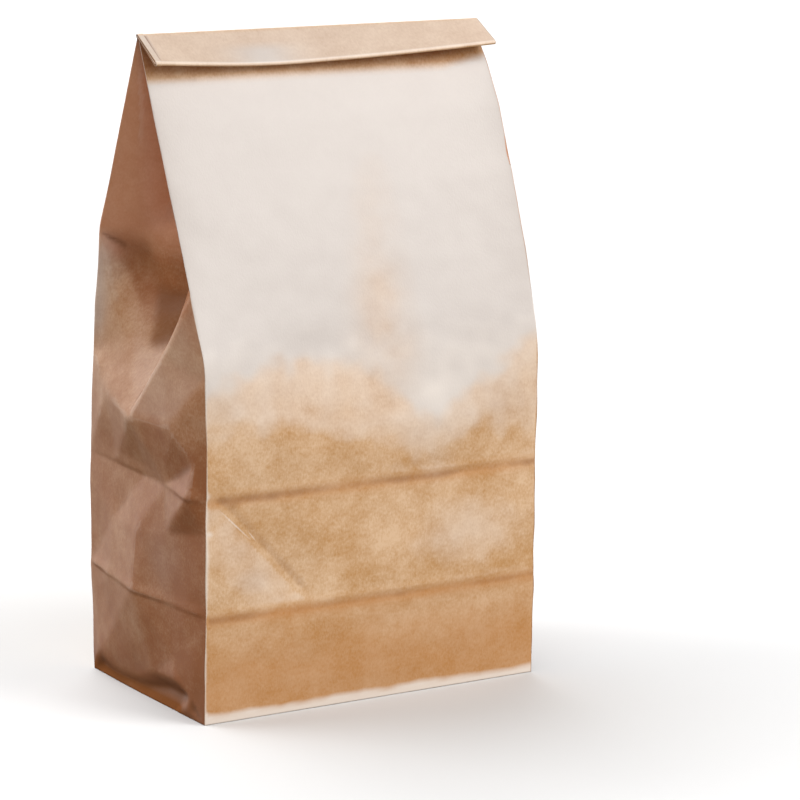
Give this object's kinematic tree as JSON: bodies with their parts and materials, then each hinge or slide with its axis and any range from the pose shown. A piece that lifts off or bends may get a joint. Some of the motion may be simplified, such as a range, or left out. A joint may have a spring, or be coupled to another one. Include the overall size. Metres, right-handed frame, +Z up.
{
  "type": "pet food bag",
  "caption": "Filled kraft paper block-bottom bag with tucked side gussets, standing upright, its mouth closed by folding it over to the front.",
  "frame": {"origin": "centre of the base, on the surface the bag stands on", "axes": "+Z up, the front panel with the folded-over flap faces -Y, +X to the right as seen from the front"},
  "size_m": [0.171, 0.112, 0.2741],
  "materials": {
    "kraft_paper": "unbleached machine-glazed kraft, satin where the glazed side catches the light"
  },
  "bodies": {
    "root": {"paper_bag": "kraft_paper"}
  },
  "joints": []
}
